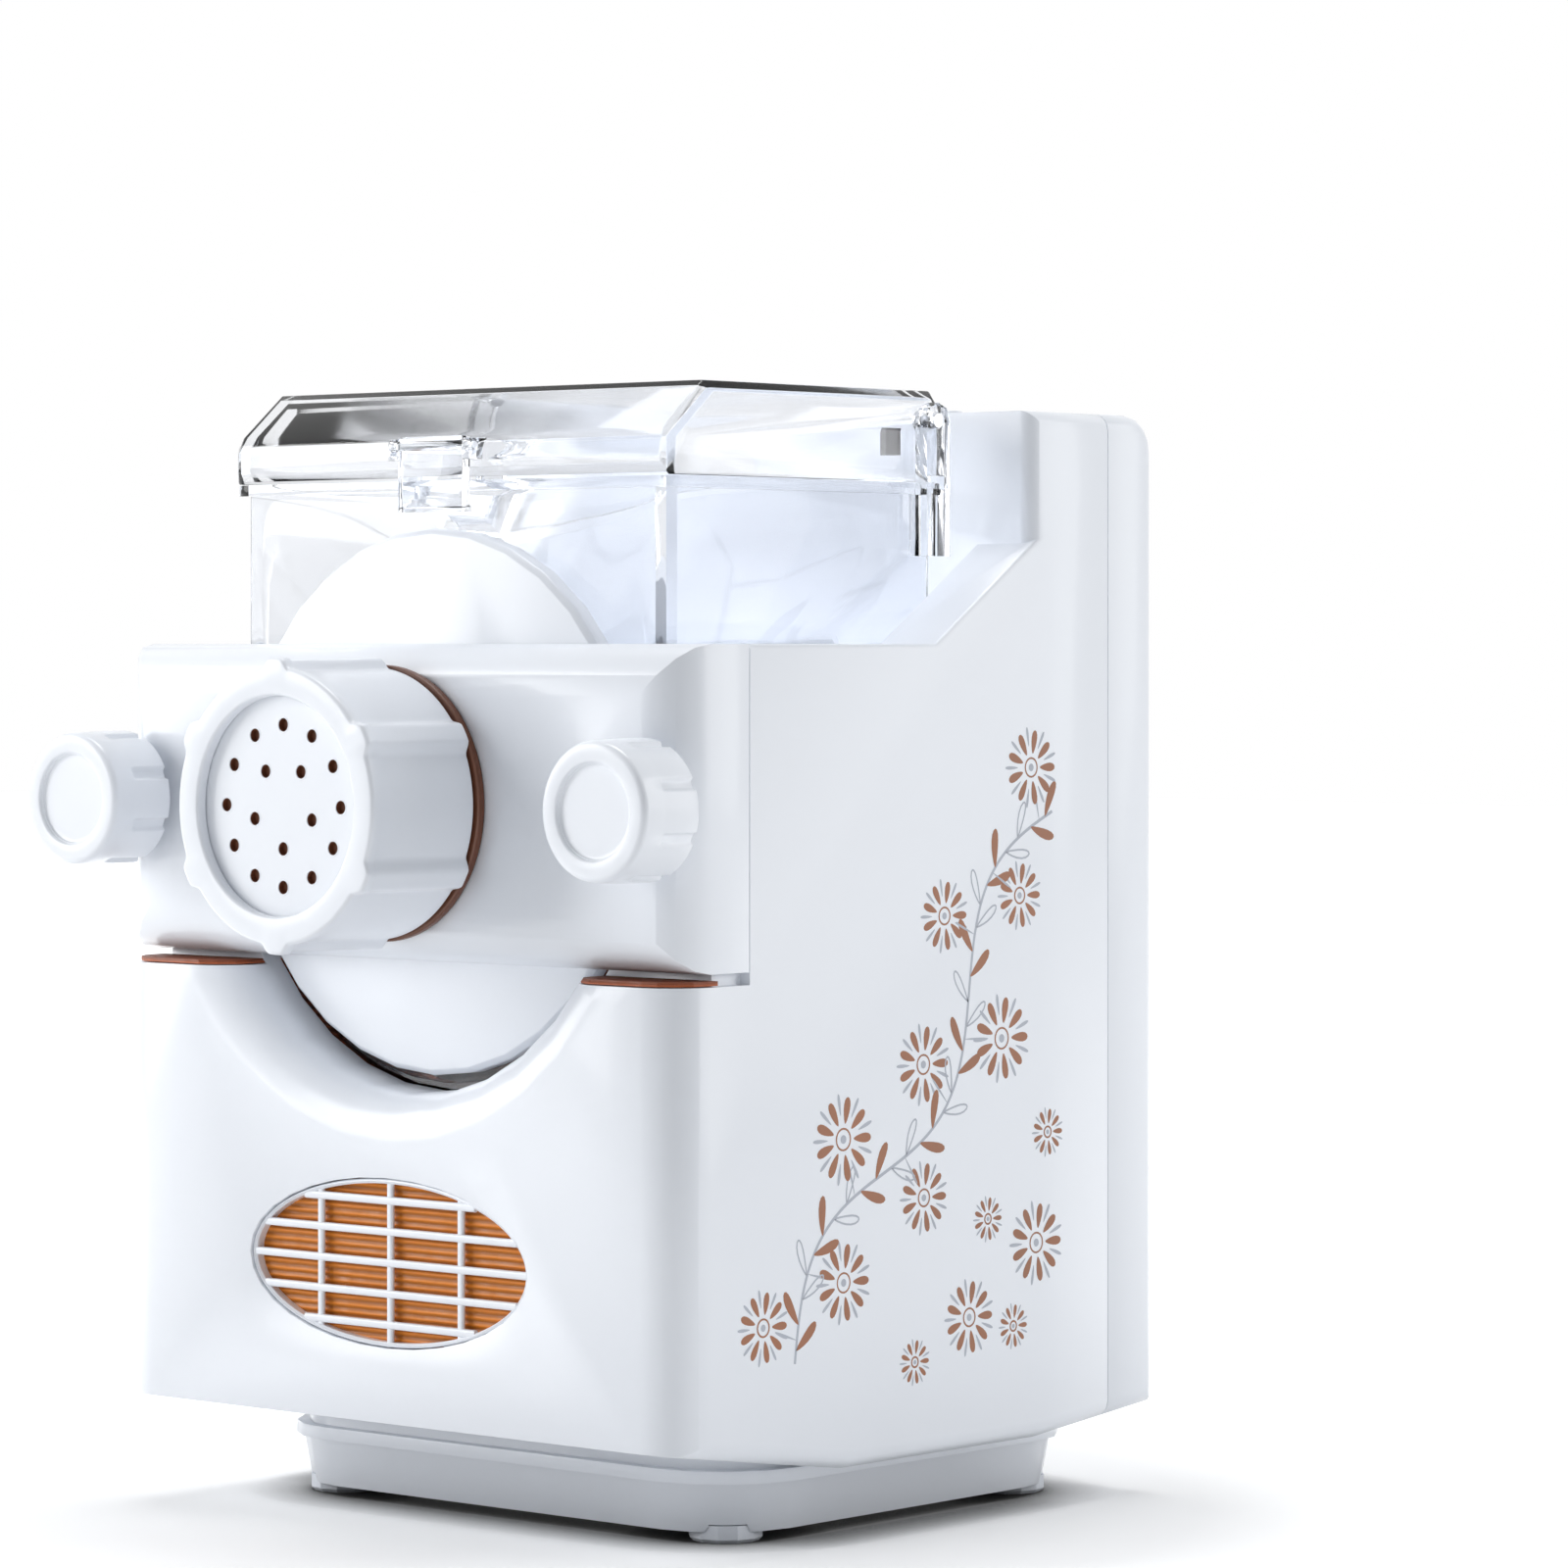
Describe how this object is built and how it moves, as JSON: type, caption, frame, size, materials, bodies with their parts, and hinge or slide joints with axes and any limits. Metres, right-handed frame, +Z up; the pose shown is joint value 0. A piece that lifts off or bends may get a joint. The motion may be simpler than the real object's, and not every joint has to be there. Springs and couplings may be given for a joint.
{
  "type": "electric pasta maker",
  "caption": "Countertop electric pasta maker: lidded clear mixing chamber, front extrusion barrel with screw-on die nut, clamp bar with thumb nuts, and an enclosed geared motor.",
  "frame": {"origin": "on the floor, at the middle of the whole footprint", "axes": "+Z up, -Y towards the front with the die nut, +X to the right seen from the front"},
  "size_m": [0.2322, 0.2454, 0.3075],
  "materials": {
    "white_plastic": "smooth, soft gloss",
    "panel_grey": "smooth",
    "clear_plastic": "clear, polished",
    "amber_liner": "matt, orange-brown",
    "steel": "fine turned",
    "rubber": "matt, pale",
    "silicone": "matt, pale",
    "case_grey": "matt",
    "dark_plastic": "satin",
    "board_green": "solder-mask green"
  },
  "bodies": {
    "body": {"base_tray": "white_plastic", "circuit_board": "board_green", "control_panel": "panel_grey", "disc_seal": "silicone", "display_window": "dark_plastic", "foot_back_left": "rubber", "foot_back_right": "rubber", "foot_front_left": "rubber", "foot_front_right": "rubber", "front_bar": "white_plastic", "front_disc": "white_plastic", "gear_case": "case_grey", "gear_case_cover": "case_grey", "idler_shaft": "steel", "inner_chassis": "amber_liner", "main_housing": "white_plastic", "mixing_chamber": "clear_plastic", "motor_body": "steel", "nut_spacer_ring": "amber_liner", "power_inlet": "dark_plastic", "power_switch_frame": "dark_plastic", "rear_cover": "white_plastic", "rear_screw_1": "steel", "rear_screw_2": "steel", "rear_screw_3": "steel", "rear_screw_4": "steel", "seat_liner_left": "amber_liner", "seat_liner_right": "amber_liner", "shaft_bush": "silicone", "stud_left": "steel", "stud_right": "steel", "vent_filter": "amber_liner", "vent_grille": "white_plastic"},
    "lid": {"chamber_lid": "clear_plastic", "lid_magnet": "dark_plastic", "hinge_pin_left": "steel", "hinge_pin_right": "steel", "latch_pin": "steel"},
    "latch": {"lid_latch": "clear_plastic"},
    "left_clamp_slider": {"washer_left": "steel"},
    "left_thumb_nut": {"knob_left": "white_plastic"},
    "right_clamp_slider": {"washer_right": "steel"},
    "right_thumb_nut": {"knob_right": "white_plastic"},
    "die": {"die_plate": "white_plastic"},
    "nut": {"die_nut": "white_plastic"},
    "mixer": {"mixing_auger": "white_plastic", "output_shaft": "steel", "output_gear": "white_plastic"},
    "idler": {"idler_gear": "white_plastic"},
    "rotor": {"motor_shaft": "steel", "motor_pinion": "steel", "cooling_fan": "case_grey"},
    "minus": {"button_minus": "white_plastic"},
    "plus": {"button_plus": "white_plastic"},
    "mode": {"button_mode": "white_plastic"},
    "start": {"button_start": "white_plastic"},
    "rocker": {"power_switch_rocker": "dark_plastic"}
  },
  "joints": [
    {"name": "lid_hinge", "type": "hinge", "parent": "body", "child": "lid", "pos_m": [0, 0.04578, 0.299], "axis": [-1, 0, 0], "range_deg": [0, 100]},
    {"name": "latch_pivot", "type": "hinge", "parent": "lid", "child": "latch", "pos_m": [0, -0.06292, 0.2913], "axis": [-1, 0, 0], "range_deg": [0, 25]},
    {"name": "left_clamp_slide", "type": "slide", "parent": "body", "child": "left_clamp_slider", "axis": [0, -1, 0], "range_m": [0, 0.012]},
    {"name": "left_thumb_nut_turn", "type": "hinge", "parent": "left_clamp_slider", "child": "left_thumb_nut", "pos_m": [-0.0976, -0.08522, 0.1955], "axis": [0, -1, 0], "range_deg": [0, 2160]},
    {"name": "right_clamp_slide", "type": "slide", "parent": "body", "child": "right_clamp_slider", "axis": [0, -1, 0], "range_m": [0, 0.012]},
    {"name": "right_thumb_nut_turn", "type": "hinge", "parent": "right_clamp_slider", "child": "right_thumb_nut", "pos_m": [0.0976, -0.08522, 0.1955], "axis": [0, -1, 0], "range_deg": [0, 2160]},
    {"name": "die_slide", "type": "slide", "parent": "body", "child": "die", "axis": [0, -1, 0], "range_m": [0, 0.008]},
    {"name": "die_nut_turn", "type": "hinge", "parent": "die", "child": "nut", "pos_m": [0, -0.11422, 0.1955], "axis": [0, -1, 0], "range_deg": [0, 720]},
    {"name": "mixer_turn", "type": "hinge", "parent": "body", "child": "mixer", "pos_m": [0, 0.04818, 0.1955], "axis": [0, 1, 0], "continuous": true},
    {"name": "idler_turn", "type": "hinge", "parent": "body", "child": "idler", "pos_m": [0, 0.08548, 0.1205], "axis": [0, 1, 0], "continuous": true},
    {"name": "rotor_turn", "type": "hinge", "parent": "body", "child": "rotor", "pos_m": [0, 0.08548, 0.0755], "axis": [0, 1, 0], "continuous": true},
    {"name": "minus_press", "type": "slide", "parent": "body", "child": "minus", "axis": [0, 0, -1], "range_m": [0, 0.0012], "stiffness_N_per_m": 400},
    {"name": "plus_press", "type": "slide", "parent": "body", "child": "plus", "axis": [0, 0, -1], "range_m": [0, 0.0012], "stiffness_N_per_m": 400},
    {"name": "mode_press", "type": "slide", "parent": "body", "child": "mode", "axis": [0, 0, -1], "range_m": [0, 0.0012], "stiffness_N_per_m": 400},
    {"name": "start_press", "type": "slide", "parent": "body", "child": "start", "axis": [0, 0, -1], "range_m": [0, 0.0012], "stiffness_N_per_m": 400},
    {"name": "rocker_tilt", "type": "hinge", "parent": "body", "child": "rocker", "pos_m": [-0.028, 0.11808, 0.058], "axis": [-1, 0, 0], "range_deg": [0, 18]}
  ],
  "couplings": [
    {"joint": "left_clamp_slide", "follows": "left_thumb_nut_turn", "m_per_rad": 0.00031831},
    {"joint": "right_clamp_slide", "follows": "right_thumb_nut_turn", "m_per_rad": 0.00031831},
    {"joint": "die_slide", "follows": "die_nut_turn", "m_per_rad": 0.00063662},
    {"joint": "idler_turn", "follows": "mixer_turn", "ratio": -4},
    {"joint": "rotor_turn", "follows": "mixer_turn", "ratio": 16}
  ]
}
